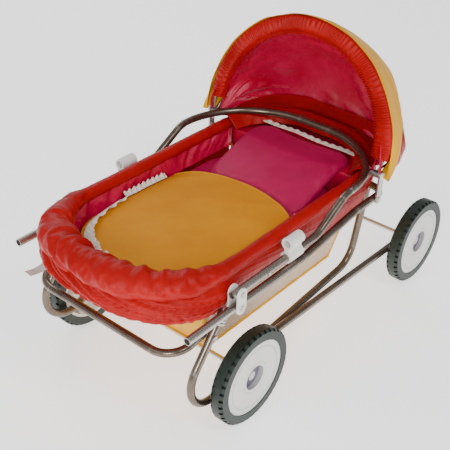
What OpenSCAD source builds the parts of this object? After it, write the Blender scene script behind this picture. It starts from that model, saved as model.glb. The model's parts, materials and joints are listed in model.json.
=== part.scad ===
// Folding doll stroller, shown folded flat with its handle turned over the bassinet.
// Bent steel tube makes the two rails, the crossed leg frames and the U handle. The rails
// carry a soft bassinet with a folding hood, and a mesh basket hangs under it.
// Stations along X are counted from the foot axle towards the hood, +Y is the far side
// and heights are counted from the floor. The finished model is shifted so that its origin
// is under the middle of the whole stroller.

/* [Tube frame] */
// Outer diameter of the frame tube
tube_d = 12.7; // [10:0.1:15.4]
// Wall thickness of the frame tube
tube_wall = 1.2; // [0.8:0.1:2]
// Distance from the middle plane to the centre of each rail
rail_y = 175; // [145:1:210]
// Height of the rails above the axles
rail_lift = 153; // [145:1:185]
// How much higher the rails are at the hood end
rail_rise = 18; // [10:1:24]
// Station where the rails start to rise
rise_x = 120; // [100:1:135]
// Station of the cross tube at the hood end of the rails
rail_end_x = 360; // [335:1:430]
// Bend radius of the rails where they meet the cross tube
corner_r = 25; // [20:1:30]
// Length of open rail behind the lower hinge bolt
stub_len = 106; // [90:1:127]

/* [Handle] */
// Station of the handle hinge, towards the foot from the foot axle
hinge_x = -36; // [-44:1:-30]
// Distance between the two bolts of a hinge plate
bolt_gap = 24; // [20:0.5:29]
// Distance from the hinge to the middle of the grip
handle_reach = 434; // [410:1:440]
// Rise of the grip above the handle arms
handle_rise = 43; // [36:1:52]
// Straight length across the grip
grip_len = 50; // [40:1:80]
// Length of each lock sleeve
sleeve_len = 33; // [26:1:40]
// Distance from the hinge to the near end of a parked lock sleeve
sleeve_park = 114; // [110:1:118]
// Thickness of the plastic hinge plates
plate_t = 3; // [2:0.1:4]

/* [Wheels] */
// Wheel diameter over the tread
wheel_d = 164; // [136:1:176]
// Tyre width
wheel_w = 24; // [18:1:30]
// Distance between the two axles when folded
wheelbase = 504; // [420:1:605]
// How far the inner tyre face sits inside the rail centre
wheel_inset = 8; // [6:0.5:10]
// Axle diameter
axle_d = 8; // [6:0.5:9]
// Radius of the white hub disc
hub_r = 64.7; // [54:0.1:66]

/* [Legs] */
// Bend radius of the spring loop at the foot end of each long leg
loop_r = 50; // [46:1:52]
// Slope of the long leg where it climbs over the foot axle, in degrees
climb = 35; // [33:1:38]
// Least space between neighbouring tubes and wheels
leg_gap = 2.65; // [2:0.05:4]
// Station of the bar across the foot end
foot_bar_x = -140; // [-146:1:-134]

/* [Bassinet] */
// Station of the foot end of the bassinet
bed_foot_x = -160; // [-166:1:-155]
// Station of the hood end of the bassinet
bed_head_x = 445; // [425:1:500]
// Depth of the bassinet from its rim to its underside
bed_depth = 73; // [70:1:76]
// Thickness of the bassinet wall
bed_wall = 5; // [3:0.5:8]
// Thickness of the mattress
mattress_t = 12; // [8:0.5:16]

/* [Hood] */
// Height of the hood from its pivots to the top of the front bow
hood_reach = 206; // [200:1:240]
// Depth of the hood behind its pivots
hood_depth = 150; // [140:1:185]
// Height of the hood pivots above the rails
pivot_lift = 45; // [40:1:52]
// Backward lean of the open front bow, in degrees
front_lean = 12; // [10:1:20]
// Wire diameter of the hood bows
bow_d = 4; // [3:0.5:5]

/* [Basket] */
// Length of the basket along its top edge
basket_len = 370; // [320:1:400]
// Depth of the basket
basket_depth = 82; // [60:1:86]
// Thickness of the basket cloth
basket_wall = 3; // [2:0.5:4]

/* [Hidden] */
$fn = 64;
fit = 0.3;                                     // space beside a sliding or turning face
bore_fit = 0.08;                               // radial space round a pin
bolt_d = 5;
bend_lap = 0.6;                                // how far a bend laps over a straight
bend_swell = 0.03;
plate_w = 20;                                  // width of a hinge plate
eye_r = 9;                                     // flattened leg end
eye_t = 3;                                     // least thickness of a flattened leg end
axle_z = wheel_d / 2;
rail_z = axle_z + rail_lift;
arm_z = rail_z + bolt_gap;                     // handle arms when folded
grip_z = arm_z + handle_rise;
head_z = rail_z + rail_rise;                   // cross tube at the hood end
stub_x = hinge_x - stub_len;
plate_in = rail_y - tube_d / 2 - fit - plate_t;
plate_out = rail_y + tube_d / 2 + fit + plate_t;
wheel_in = rail_y - wheel_inset;
wheel_out = wheel_in + wheel_w;
long_y = min(plate_in - 1, wheel_in - leg_gap) - tube_d / 2;
short_y = long_y - tube_d - leg_gap;
bed_half = rail_y - tube_d / 2 - 13.65;        // half width of the bassinet at its rim
bed_low_half = long_y - tube_d / 2 - 7.65;     // half width of its underside
bed_top = rail_z + 53;
bed_bottom = bed_top - bed_depth;
bed_floor = bed_bottom + 10;                   // top of the cloth bottom
step_x = rail_end_x - 21;                      // end of the deep part, before the cross tube
step_z = head_z + 13;                          // underside of the shallow head end
board_t = 4;
mattress_z = bed_floor + board_t + 1;
cover_z = mattress_z + mattress_t + 0.5;       // underside of blanket and pillow
basket_half = short_y - tube_d / 2 - leg_gap;
basket_top = bed_bottom - 5;
basket_foot_x = -60;
bracket_in = rail_y + tube_d / 2 + 0.05;
bracket_t = 3;
bow_eye = bow_d + 0.8;                         // thickness of the ring at a bow end
bow_step = bow_eye + 0.4;                      // side by side spacing of the bow ends
front_y = bracket_in - 0.5 - bow_eye / 2;
middle_y = front_y - bow_step;
rear_y = middle_y - bow_step;
pivot_x = rail_end_x - corner_r - 9;
pivot_z = head_z + pivot_lift;
middle_lean = 48;
middle_reach = hood_reach - 19;
band_up = 45;                                  // band starts this far from the pivot
x_low = min(bed_foot_x, stub_x);
x_high = max(wheelbase + wheel_d / 2, pivot_x + hood_depth + bow_d);
mid_x = (x_low + x_high) / 2;

// Spring loop of a long leg: circle centre, and the slope of the upper leg that touches it.
loop_x = hinge_x - 77 + loop_r;
loop_z = axle_z + loop_r - 16;
leg_dx = loop_x - hinge_x;
leg_dz = loop_z - rail_z;
leg_far = norm([leg_dx, leg_dz]);
leg_slope = atan2(leg_dz, leg_dx) - asin(loop_r / leg_far);
leg_straight = sqrt(leg_far * leg_far - loop_r * loop_r);
// Knee of the long leg above the foot axle.
exit_x = loop_x + loop_r * sin(climb);
exit_z = loop_z - loop_r * cos(climb);
climb_len = 54;
knee_x = exit_x + climb_len * cos(climb);
knee_z = exit_z + climb_len * sin(climb);
knee_r = 60;
knee_fall = atan2(knee_z - axle_z, wheelbase - knee_x);
knee_cut = knee_r * tan((climb + knee_fall) / 2);
// Where the foot bar is bolted to the upper legs.
bar_t = 56;
bar_x = hinge_x + bar_t * cos(leg_slope);
bar_z = rail_z + bar_t * sin(leg_slope);
bar_y = long_y - tube_d - fit;
bar_tilt = 8;

// ---- helpers ----
// Parts are drawn on the near side, and the far ones are their mirror images.
module placed(far = false) {
    translate([-mid_x, 0, 0])
        if (far) {
            mirror([0, 1, 0])
                children();
        } else {
            children();
        }
}

module both_sides() {
    for (far = [false, true])
        placed(far)
            children();
}

// Solid run of bent bar, drawn from the local origin along +X. A step is [length] for a
// straight, or [radius, angle, roll] for a bend: roll 0 turns left, 90 up, -90 down, 180
// right. Each bend laps a little over its straights and swells by the usual forming mark.
module bent_bar(steps, d, i = 0) {
    if (i < len(steps)) {
        s = steps[i];
        if (len(s) == 1) {
            rotate([0, 90, 0])
                cylinder(d = d, h = s[0]);
            translate([s[0], 0, 0])
                bent_bar(steps, d, i + 1);
        } else {
            lap = bend_lap / s[0] * 180 / PI;
            rotate([s[2], 0, 0]) {
                translate([0, s[0], 0])
                    rotate([0, 0, -90 - lap])
                        rotate_extrude(angle = s[1] + 2 * lap)
                            translate([s[0], 0])
                                circle(d = d + 2 * bend_swell);
                translate([s[0] * sin(s[1]), s[0] * (1 - cos(s[1])), 0])
                    rotate([0, 0, s[1]])
                        rotate([-s[2], 0, 0])
                            bent_bar(steps, d, i + 1);
            }
        }
    }
}

// The same steps with a taken off the first straight and b off the last.
function trimmed(steps, a, b) = [
    for (i = [0 : len(steps) - 1])
        len(steps[i]) == 1
            ? [steps[i][0] - (i == 0 ? a : 0) - (i == len(steps) - 1 ? b : 0)]
            : steps[i]
];

// Bore of a bent tube. Positive ends leave the tube closed there, negative ones open it.
module tube_bore(steps, a = -1, b = -1) {
    translate([a, 0, 0])
        bent_bar(trimmed(steps, a, b), tube_d - 2 * tube_wall);
}

module bent_tube(steps) {
    difference() {
        bent_bar(steps, tube_d);
        tube_bore(steps);
    }
}

// Cylinder along Y whose middle is at the local origin.
module cross_rod(d, length) {
    rotate([90, 0, 0])
        cylinder(d = d, h = length, center = true);
}

// Bolt or rivet with its head on the near, outer side, reaching in to y_in.
module bolt(x, z, y_out, y_in, d, head_d, head_h, nut_h) {
    span = y_out - y_in;
    translate([x, -(y_out + y_in) / 2, z]) {
        cross_rod(d, span + 0.2);
        translate([0, -(span + head_h) / 2 - 0.1, 0])
            cross_rod(head_d, head_h);
        translate([0, (span + nut_h) / 2 + 0.1, 0])
            cross_rod(head_d - 1, nut_h);
    }
}

// Rounded rectangle of four posts, hulled by whoever uses it.
module corner_posts(x0, x1, half, r, z, h) {
    for (x = [x0 + r, x1 - r])
        for (y = [-half + r, half - r])
            translate([x, y, z])
                cylinder(r = r, h = h, $fn = 32);
}

// Straight stretch of a rail or handle that climbs by h at the given angle.
function ramp_len(h, r, a) = (h - 2 * r * (1 - cos(a))) / sin(a);
function ramp_run(h, r, a) = 2 * r * sin(a) + ramp_len(h, r, a) * cos(a);

// ---- rails ----
rail_tail = 2;

module rail() {
    slope = 7;
    slope_r = 90;
    lead = rail_end_x - corner_r - rise_x - ramp_run(rail_rise, slope_r, slope);
    color("#8d8478")
        difference() {
            translate([stub_x, -rail_y, rail_z])
                bent_tube([
                    [rise_x - stub_x],
                    [slope_r, slope, 90], [ramp_len(rail_rise, slope_r, slope)], [slope_r, slope, -90],
                    [lead], [corner_r, 90, 0], [rail_tail]
                ]);
            translate([hinge_x, -rail_y, rail_z])
                cross_rod(bolt_d + 2 * bore_fit, tube_d + 2);
            translate([pivot_x, -rail_y - tube_d / 2, head_z])
                cross_rod(bolt_d + 2 * bore_fit, tube_d);
        }
}

module rail_near() {
    placed() rail();
}

module rail_far() {
    placed(true) rail();
}

module hood_cross_tube() {
    color("#8d8478")
        placed()
            translate([rail_end_x, -rail_y + corner_r + rail_tail + 0.05, head_z])
                rotate([0, 0, 90])
                    bent_tube([[2 * (rail_y - corner_r - rail_tail - 0.05)]]);
}

// Small domed rivet on the inner side of each rail, where the bassinet cloth is held.
module rail_rivets() {
    color("#b9b6ae")
        both_sides()
            translate([rise_x - 10, -rail_y + tube_d / 2 + 0.9, rail_z])
                cross_rod(6, 1.6);
}

// ---- hinge ----
module hinge_plate(y_mid) {
    color("#ecebe6")
        difference() {
            translate([hinge_x, -y_mid, 0])
                rotate([90, 0, 0])
                    linear_extrude(plate_t, center = true)
                        union() {
                            translate([0, rail_z])
                                circle(d = plate_w);
                            translate([0, arm_z])
                                circle(d = plate_w);
                            translate([-plate_w / 2 + 0.4, rail_z])
                                square([plate_w - 0.8, bolt_gap]);
                        }
            for (z = [rail_z, arm_z])
                translate([hinge_x, -y_mid, z])
                    cross_rod(bolt_d + 2 * bore_fit, 2 * plate_t);
        }
}

module hinge_plate_outer_near() {
    placed() hinge_plate(plate_out - plate_t / 2);
}

module hinge_plate_inner_near() {
    placed() hinge_plate(plate_in + plate_t / 2);
}

module hinge_plate_outer_far() {
    placed(true) hinge_plate(plate_out - plate_t / 2);
}

module hinge_plate_inner_far() {
    placed(true) hinge_plate(plate_in + plate_t / 2);
}

// The lower bolt also carries the flattened top end of a long leg.
module hinge_bolts_lower() {
    color("#b9b6ae")
        both_sides()
            bolt(hinge_x, rail_z, plate_out, eye_in() - fit, bolt_d, 9, 2.6, 3);
}

module hinge_bolts_upper() {
    color("#b9b6ae")
        both_sides()
            bolt(hinge_x, arm_z, plate_out, plate_in, bolt_d, 9, 2.6, 3);
}

// ---- handle ----
arm_slope = 30;
arm_r = 50;
arm_rise_x = 145;

module handle_tube() {
    grip_r = rail_y - grip_len / 2;
    open_end = 12;
    flat = hinge_x + handle_reach - grip_r - arm_rise_x - ramp_run(handle_rise, arm_r, arm_slope);
    lead = arm_rise_x - hinge_x + open_end;
    ramp = ramp_len(handle_rise, arm_r, arm_slope);
    color("#8d8478")
        placed()
            difference() {
                translate([hinge_x - open_end, -rail_y, arm_z])
                    bent_tube([
                        [lead], [arm_r, arm_slope, 90], [ramp], [arm_r, arm_slope, -90], [flat],
                        [grip_r, 90, 0], [grip_len], [grip_r, 90, 0],
                        [flat], [arm_r, arm_slope, -90], [ramp], [arm_r, arm_slope, 90], [lead]
                    ]);
                translate([hinge_x, 0, arm_z])
                    cross_rod(bolt_d + 2 * bore_fit, 2 * rail_y + 2 * tube_d);
            }
}

// Rivet heads on the outer side of each arm that stop the lock sleeve at both ends of its slide.
sleeve_travel = 45;

module stop_rivets() {
    color("#b9b6ae")
        both_sides()
            for (x = [sleeve_park - sleeve_travel - 4, sleeve_park + sleeve_len + 4])
                translate([hinge_x + x, -rail_y - tube_d / 2 - 0.9, arm_z])
                    cross_rod(5, 1.6);
}

module lock_sleeve() {
    wall = 3;
    r_out = tube_d / 2 + fit + wall;
    color("#ecebe6")
        translate([hinge_x + sleeve_park, -rail_y, arm_z])
            rotate([90, 0, 90])
                linear_extrude(sleeve_len)
                    difference() {
                        union() {
                            circle(r = r_out);
                            translate([0, bolt_gap])
                                circle(r = r_out);
                            translate([-4, 0])
                                square([8, bolt_gap]);
                        }
                        circle(r = tube_d / 2 + 0.1);
                        translate([0, bolt_gap])
                            circle(r = tube_d / 2 + fit);
                    }
}

module lock_sleeve_near() {
    placed() lock_sleeve();
}

module lock_sleeve_far() {
    placed(true) lock_sleeve();
}

// ---- long legs, from the hinge round the spring loop to the hood axle ----
function eye_in() = min(long_y + tube_d / 2, plate_in - fit) - eye_t;

module long_leg() {
    neck = 12;
    eye_span = plate_in - fit - eye_in();
    eye_y = -(plate_in - fit + eye_in()) / 2;
    steps = [
        [leg_straight - neck],
        [loop_r, climb - leg_slope, 90],
        [climb_len - knee_cut],
        [knee_r, climb + knee_fall, -90],
        [norm([wheelbase - knee_x, axle_z - knee_z]) - knee_cut - 6]
    ];
    color("#8d8478")
        difference() {
            union() {
                translate([hinge_x, eye_y, rail_z]) {
                    cross_rod(2 * eye_r, eye_span);
                    rotate([0, -leg_slope, 0])
                        translate([0, -eye_span / 2, -5])
                            cube([neck + 3, eye_span, 10]);
                }
                translate([hinge_x, -long_y, rail_z])
                    rotate([0, -leg_slope, 0])
                        translate([neck, 0, 0])
                            bent_bar(steps, tube_d);
                translate([wheelbase, -long_y, axle_z])
                    cross_rod(20, 8);
            }
            translate([hinge_x, -long_y, rail_z])
                rotate([0, -leg_slope, 0])
                    translate([neck, 0, 0])
                        tube_bore(steps, 5, 8);
            translate([hinge_x, -rail_y + 20, rail_z])
                cross_rod(bolt_d + 2 * bore_fit, 60);
            translate([wheelbase, -long_y, axle_z])
                cross_rod(axle_d + 2 * bore_fit, 3 * tube_d);
            translate([bar_x, -long_y, bar_z])
                cross_rod(bolt_d + 2 * bore_fit, 2 * tube_d);
        }
}

module long_leg_near() {
    placed() long_leg();
}

module long_leg_far() {
    placed(true) long_leg();
}

// Bar across the foot end, bolted to the inner side of both upper legs.
module foot_cross_bar() {
    r = 40;
    past = 14;
    arm = (bar_x - foot_bar_x - r) / cos(bar_tilt) + past;
    color("#8d8478")
        placed()
            difference() {
                translate([bar_x, -bar_y, bar_z])
                    rotate([0, bar_tilt, 180])
                        translate([-past, 0, 0])
                            bent_tube([
                                [arm], [r, 90, 180], [2 * (bar_y - r)], [r, 90, 180], [arm]
                            ]);
                translate([bar_x, 0, bar_z])
                    cross_rod(bolt_d + 2 * bore_fit, 2 * bar_y + 2 * tube_d);
            }
}

module cross_bar_caps() {
    color("#1b1b1d")
        both_sides()
            translate([bar_x, -bar_y, bar_z])
                rotate([0, bar_tilt, 0])
                    translate([15.45, 0, 0])
                        rotate([0, 90, 0])
                            cylinder(d = tube_d + 1, h = 4);
}

module cross_bar_bolts() {
    color("#b9b6ae")
        both_sides()
            bolt(bar_x, bar_z, long_y + tube_d / 2, bar_y - tube_d / 2, bolt_d, 8, 2, 3);
}

// ---- short legs, from the foot axle to the cross tube at the hood end ----
module short_leg() {
    low_x = rail_end_x - 32;
    low_z = axle_z + 26;
    run_a = atan2(low_z - axle_z, low_x);
    up_a = atan2(head_z - low_z, rail_end_x - low_x);
    bend_r = 45;
    cut = bend_r * tan((up_a - run_a) / 2);
    steps = [
        [norm([low_x, low_z - axle_z]) - cut - 6],
        [bend_r, up_a - run_a, 90],
        [norm([rail_end_x - low_x, head_z - low_z]) - cut - 8]
    ];
    color("#8d8478")
        difference() {
            union() {
                translate([0, -short_y, axle_z]) {
                    cross_rod(20, 8);
                    rotate([0, -run_a, 0])
                        translate([6, 0, 0])
                            bent_bar(steps, tube_d);
                }
                translate([rail_end_x, -short_y, head_z])
                    cross_rod(tube_d + 7, 10);
            }
            translate([0, -short_y, axle_z]) {
                rotate([0, -run_a, 0])
                    translate([6, 0, 0])
                        tube_bore(steps, 8, 6);
                cross_rod(axle_d + 2 * bore_fit, 3 * tube_d);
            }
            translate([rail_end_x, -short_y, head_z])
                cross_rod(tube_d + 2 * bore_fit, 3 * tube_d);
        }
}

module short_leg_near() {
    placed() short_leg();
}

module short_leg_far() {
    placed(true) short_leg();
}

// ---- axles ----
recess = 10;                                   // depth of the recess in a hub
cap_t = 2.5;

module axle(x) {
    color("#b9b6ae")
        placed()
            translate([x, 0, axle_z])
                cross_rod(axle_d, 2 * (wheel_out - recess + 3));
}

// Washer between each hub and the nearest tube.
module axle_washers(x, leg_y) {
    y_in = leg_y + 4.2;
    color("#d8d6d0")
        both_sides()
            translate([x, -(wheel_in + y_in) / 2, axle_z])
                difference() {
                    cross_rod(axle_d + 3, wheel_in - y_in - 0.4);
                    cross_rod(axle_d + 2 * bore_fit, 3 * wheel_w);
                }
}

module axle_caps(x) {
    color("#c9c7c1")
        both_sides()
            translate([x, -(wheel_out - recess + 0.3 + cap_t / 2), axle_z])
                difference() {
                    cross_rod(axle_d + 7, cap_t);
                    cross_rod(axle_d + 0.02, 2 * cap_t);
                }
}

module hood_axle() {
    axle(wheelbase);
}

module hood_axle_washers() {
    axle_washers(wheelbase, long_y);
}

module hood_axle_caps() {
    axle_caps(wheelbase);
}

module foot_axle() {
    axle(0);
}

module foot_axle_washers() {
    axle_washers(0, short_y);
}

module foot_axle_caps() {
    axle_caps(0);
}

// ---- wheels, drawn with the inner face on the XY plane and the outer face up ----
module tyre() {
    r = wheel_d / 2;
    shoulder = 3;
    treads = 40;
    color("#17261f")
        difference() {
            rotate_extrude($fn = 128)
                polygon([
                    [hub_r + 0.2, 0], [r - shoulder, 0], [r, shoulder],
                    [r, wheel_w - shoulder], [r - shoulder, wheel_w], [hub_r + 0.2, wheel_w]
                ]);
            for (i = [0 : treads - 1])
                for (z = [-1, wheel_w - 6])
                    rotate([0, 0, (i + (z > 0 ? 0.5 : 0)) * 360 / treads])
                        translate([r - 3.5, -2.5, z])
                            cube([8, 5, 7]);
        }
}

module hub() {
    disc_t = 3;
    face = wheel_w - 1.5;
    rim_t = 5;
    ribs = 6;
    color("#e6e4df")
        difference() {
            union() {
                difference() {
                    translate([0, 0, 1.5])
                        cylinder(r = hub_r, h = face - 1.5, $fn = 128);
                    cylinder(r = hub_r - rim_t, h = face - disc_t, $fn = 128);
                }
                translate([0, 0, face - recess - 4])
                    cylinder(r = 25, h = recess + 3);
                cylinder(r = 11, h = face - recess - 2);
                for (i = [0 : ribs - 1])
                    rotate([0, 0, i * 360 / ribs])
                        translate([8, -1.5, 3])
                            cube([hub_r - 10, 3, face - 4]);
            }
            translate([0, 0, wheel_w - recess])
                cylinder(r = 21, h = recess + 1);
            translate([0, 0, -1])
                cylinder(r = axle_d / 2 + bore_fit, h = wheel_w);
        }
}

module wheel_at(x, far) {
    placed(far)
        translate([x, -wheel_in, axle_z])
            rotate([90, 0, 0])
                children();
}

module tyre_foot_near() {
    wheel_at(0, false) tyre();
}

module tyre_foot_far() {
    wheel_at(0, true) tyre();
}

module tyre_hood_near() {
    wheel_at(wheelbase, false) tyre();
}

module tyre_hood_far() {
    wheel_at(wheelbase, true) tyre();
}

module hub_foot_near() {
    wheel_at(0, false) hub();
}

module hub_foot_far() {
    wheel_at(0, true) hub();
}

module hub_hood_near() {
    wheel_at(wheelbase, false) hub();
}

module hub_hood_far() {
    wheel_at(wheelbase, true) hub();
}

// ---- hood ----
module hood_brackets() {
    width = 15;
    color("#8d8478")
        both_sides()
            translate([pivot_x, -bracket_in - bracket_t / 2, 0])
                rotate([90, 0, 0])
                    linear_extrude(bracket_t, center = true)
                        difference() {
                            union() {
                                translate([0, head_z])
                                    circle(d = width);
                                translate([0, pivot_z])
                                    circle(d = width);
                                translate([-width / 2 + 0.4, head_z])
                                    square([width - 0.8, pivot_lift]);
                            }
                            for (z = [head_z, pivot_z])
                                translate([0, z])
                                    circle(d = bolt_d + 2 * bore_fit);
                        }
}

module hood_bracket_rivets() {
    color("#b9b6ae")
        both_sides()
            translate([pivot_x, -bracket_in - bracket_t + 2.4, head_z]) {
                cross_rod(bolt_d, 5);
                translate([0, -3.4, 0])
                    cross_rod(9, 2);
            }
}

module hood_pivot_bolts() {
    y_in = rear_y - bow_eye / 2 - fit;
    color("#b9b6ae")
        both_sides() {
            translate([pivot_x, -(bracket_in + bracket_t + y_in) / 2, pivot_z])
                cross_rod(bolt_d, bracket_in + bracket_t - y_in);
            translate([pivot_x, -y_in + 1.5, pivot_z])
                cross_rod(8, 3);
        }
}

module hood_pivot_caps() {
    color("#f2f1ee")
        both_sides()
            translate([pivot_x, -bracket_in - bracket_t - 1.6, pivot_z])
                cross_rod(12, 3);
}

// A wire bow between the two pivots: straight up, over and down again.
module hood_bow(y, reach, r, lean) {
    start = 4.5;
    color("#77746e")
        translate([pivot_x - mid_x, 0, pivot_z])
            rotate([0, lean, 0])
                difference() {
                    union() {
                        translate([0, -y, start])
                            rotate([0, -90, 0])
                                bent_bar([
                                    [reach - r - start], [r, 90, 0], [2 * (y - r)], [r, 90, 0],
                                    [reach - r - start]
                                ], bow_d);
                        for (s = [-1, 1])
                            translate([0, s * y, 0])
                                cross_rod(11, bow_eye);
                    }
                    cross_rod(bolt_d + 2 * bore_fit, 3 * y);
                }
}

module hood_front_bow() {
    hood_bow(front_y, hood_reach, front_y - 1, front_lean);
}

module hood_middle_bow() {
    hood_bow(middle_y, middle_reach, middle_y - 1, middle_lean);
}

module hood_rear_bow() {
    hood_bow(rear_y, hood_depth, 110, 90);
}

// Outline of the hood in the plane of a bow: square sides and a round top.
module bow_outline(half, reach) {
    r = min(half, reach - 2);
    translate([0, reach - r])
        intersection() {
            circle(r = r);
            translate([-half, 0])
                square([2 * half, reach]);
        }
    translate([-r, -1])
        square([2 * r, reach - r + 1.5]);
}

// Padded elastic edge that wraps the front bow.
module hood_front_band() {
    outer = 7;
    inner = 14;
    depth = 16;
    color("#d81812")
        difference() {
            translate([pivot_x - mid_x, 0, pivot_z])
                rotate([0, front_lean, 0])
                    translate([-9, 0, 0])
                        rotate([90, 0, 90])
                            linear_extrude(depth)
                                difference() {
                                    bow_outline(front_y + outer - 1, hood_reach + outer);
                                    bow_outline(front_y - inner, hood_reach - inner);
                                    translate([-2 * front_y, -2])
                                        square([4 * front_y, band_up + 2]);
                                }
            hood_bow(front_y, hood_reach, front_y - 1, front_lean);
        }
}

// Hood cloth behind the front band, over the middle bow and down to the rear bow.
module hood_form(grow) {
    hull() {
        hood_slice(front_lean + 5, front_y + grow + 1, hood_reach + grow);
        hood_slice(middle_lean, front_y + grow, middle_reach + grow + 2);
        hood_slice(88, front_y + grow - 1, hood_depth + grow + 2);
    }
}

module hood_slice(lean, half, reach) {
    translate([pivot_x - mid_x, 0, pivot_z])
        rotate([0, lean, 0])
            rotate([90, 0, 90])
                linear_extrude(0.5)
                    bow_outline(half, reach, $fn = 40);
}

module hood_canopy() {
    color("#ffd833")
        difference() {
            hood_form(7);
            hood_form(3.5);
            translate([pivot_x - mid_x - 200, -300, pivot_z - 100])
                cube([600, 600, 109]);
            translate([pivot_x - mid_x, 0, pivot_z])
                rotate([0, front_lean, 0])
                    translate([-300 + 7.6, -300, -100])
                        cube([300, 600, 500]);
        }
}

// ---- bassinet ----
// Steel hoop that holds the mouth of the cloth open.
module bassinet_rim() {
    d = 6;
    r = 120;
    gap = bed_wall + d / 2 + 1.5;
    half = bed_half - gap;
    span = bed_head_x - bed_foot_x - 2 * gap - 2 * r;
    color("#9a9a98")
        placed()
            translate([bed_foot_x + gap + r, -half, bed_top - 6])
                bent_bar([
                    [span], [r, 90, 0], [2 * (half - r)], [r, 90, 0],
                    [span], [r, 90, 0], [2 * (half - r)], [r, 90, 0]
                ], d);
}

module bassinet_form(shrink, z_low) {
    hull() {
        corner_posts(bed_foot_x + 42 + shrink, bed_head_x - 15 - shrink,
            bed_low_half - shrink, 110 - shrink, z_low, 1);
        corner_posts(bed_foot_x + shrink, bed_head_x - shrink,
            bed_half - shrink, 130 - shrink, bed_top - 26, 28);
    }
}

// The deep part stops short of the cross tube, and the head end lies over it.
module bassinet_shell() {
    color("#e0180f")
        placed()
            difference() {
                bassinet_form(0, bed_bottom);
                difference() {
                    bassinet_form(bed_wall, bed_floor);
                    translate([step_x - bed_wall, -500, bed_bottom - 10])
                        cube([500, 1000, step_z + bed_wall - bed_bottom + 10]);
                }
                translate([step_x, -500, bed_bottom - 10])
                    cube([500, 1000, step_z - bed_bottom + 10]);
                translate([-1000, -1000, bed_top])
                    cube([3000, 2000, 100]);
            }
}

module base_board() {
    color("#b98d5a")
        placed()
            hull()
                corner_posts(bed_foot_x + 56, step_x - bed_wall - 2, bed_low_half - 14, 90,
                    bed_floor + 0.5, board_t);
}

module mattress() {
    color("#d6336c")
        placed()
            hull()
                corner_posts(bed_foot_x + 60, step_x - bed_wall - 4, bed_low_half - 18, 88,
                    mattress_z, mattress_t);
}

// Flat blanket from the foot end to the middle, with a rounded upper edge.
module blanket() {
    half = bed_low_half - 22;
    color("#f0ae28")
        placed()
            hull()
                for (y = [-1, 1]) {
                    translate([bed_foot_x + 146, y * (half - 80), cover_z])
                        cylinder(r = 80, h = 11, $fn = 32);
                    translate([bed_foot_x + 270, y * (half - 95), cover_z])
                        cylinder(r = 95, h = 11, $fn = 32);
                }
}

module pillow() {
    color("#e2306a")
        placed()
            hull()
                corner_posts(step_x - bed_wall - 99, step_x - bed_wall - 4, 96, 24, cover_z, 22);
}

// ---- basket ----
module basket_form(shrink, z_low, z_high) {
    hull() {
        corner_posts(basket_foot_x + 22 + shrink, basket_foot_x + basket_len - 20 - shrink,
            basket_half - 14 - shrink, 12, z_low, 1);
        corner_posts(basket_foot_x + shrink, basket_foot_x + basket_len - shrink,
            basket_half - shrink, 12, z_high - 1, 1);
    }
}

module basket() {
    color("#f3b73e")
        placed()
            difference() {
                basket_form(0, basket_top - basket_depth, basket_top);
                basket_form(basket_wall, basket_top - basket_depth + basket_wall, basket_top + 2);
            }
}

rail_near();
rail_far();
hood_cross_tube();
rail_rivets();
hinge_plate_outer_near();
hinge_plate_inner_near();
hinge_plate_outer_far();
hinge_plate_inner_far();
hinge_bolts_lower();
hinge_bolts_upper();
handle_tube();
stop_rivets();
lock_sleeve_near();
lock_sleeve_far();
long_leg_near();
long_leg_far();
foot_cross_bar();
cross_bar_caps();
cross_bar_bolts();
hood_axle();
hood_axle_washers();
hood_axle_caps();
short_leg_near();
short_leg_far();
foot_axle();
foot_axle_washers();
foot_axle_caps();
tyre_foot_near();
tyre_foot_far();
tyre_hood_near();
tyre_hood_far();
hub_foot_near();
hub_foot_far();
hub_hood_near();
hub_hood_far();
hood_brackets();
hood_bracket_rivets();
hood_pivot_bolts();
hood_pivot_caps();
hood_front_bow();
hood_middle_bow();
hood_rear_bow();
hood_front_band();
hood_canopy();
bassinet_rim();
bassinet_shell();
base_board();
mattress();
blanket();
pillow();
basket();
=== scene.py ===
import json
import math

import bpy
import numpy as np
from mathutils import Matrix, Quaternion, Vector, noise


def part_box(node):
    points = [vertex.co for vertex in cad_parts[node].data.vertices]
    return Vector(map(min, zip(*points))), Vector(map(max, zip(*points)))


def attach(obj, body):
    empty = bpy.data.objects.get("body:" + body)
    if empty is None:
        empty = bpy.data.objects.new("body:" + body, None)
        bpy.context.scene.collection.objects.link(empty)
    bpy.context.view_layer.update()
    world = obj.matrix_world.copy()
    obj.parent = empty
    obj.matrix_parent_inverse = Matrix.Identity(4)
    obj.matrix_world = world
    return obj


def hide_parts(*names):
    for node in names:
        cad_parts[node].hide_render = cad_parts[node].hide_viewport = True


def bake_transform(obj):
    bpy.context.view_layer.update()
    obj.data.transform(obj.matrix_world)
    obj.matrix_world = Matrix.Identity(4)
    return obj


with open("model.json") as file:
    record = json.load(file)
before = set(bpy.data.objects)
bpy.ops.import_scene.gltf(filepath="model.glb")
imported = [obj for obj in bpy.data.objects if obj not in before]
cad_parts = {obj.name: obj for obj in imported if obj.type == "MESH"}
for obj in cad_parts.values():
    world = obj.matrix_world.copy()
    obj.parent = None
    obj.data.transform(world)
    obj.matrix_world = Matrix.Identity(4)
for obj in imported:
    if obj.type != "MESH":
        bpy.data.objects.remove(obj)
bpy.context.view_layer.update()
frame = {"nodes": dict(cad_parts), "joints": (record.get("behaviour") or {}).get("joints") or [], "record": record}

scene = bpy.context.scene
mm = 0.001


def boxOf(node):
    lo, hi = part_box(node)
    return np.array(lo), np.array(hi)


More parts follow.
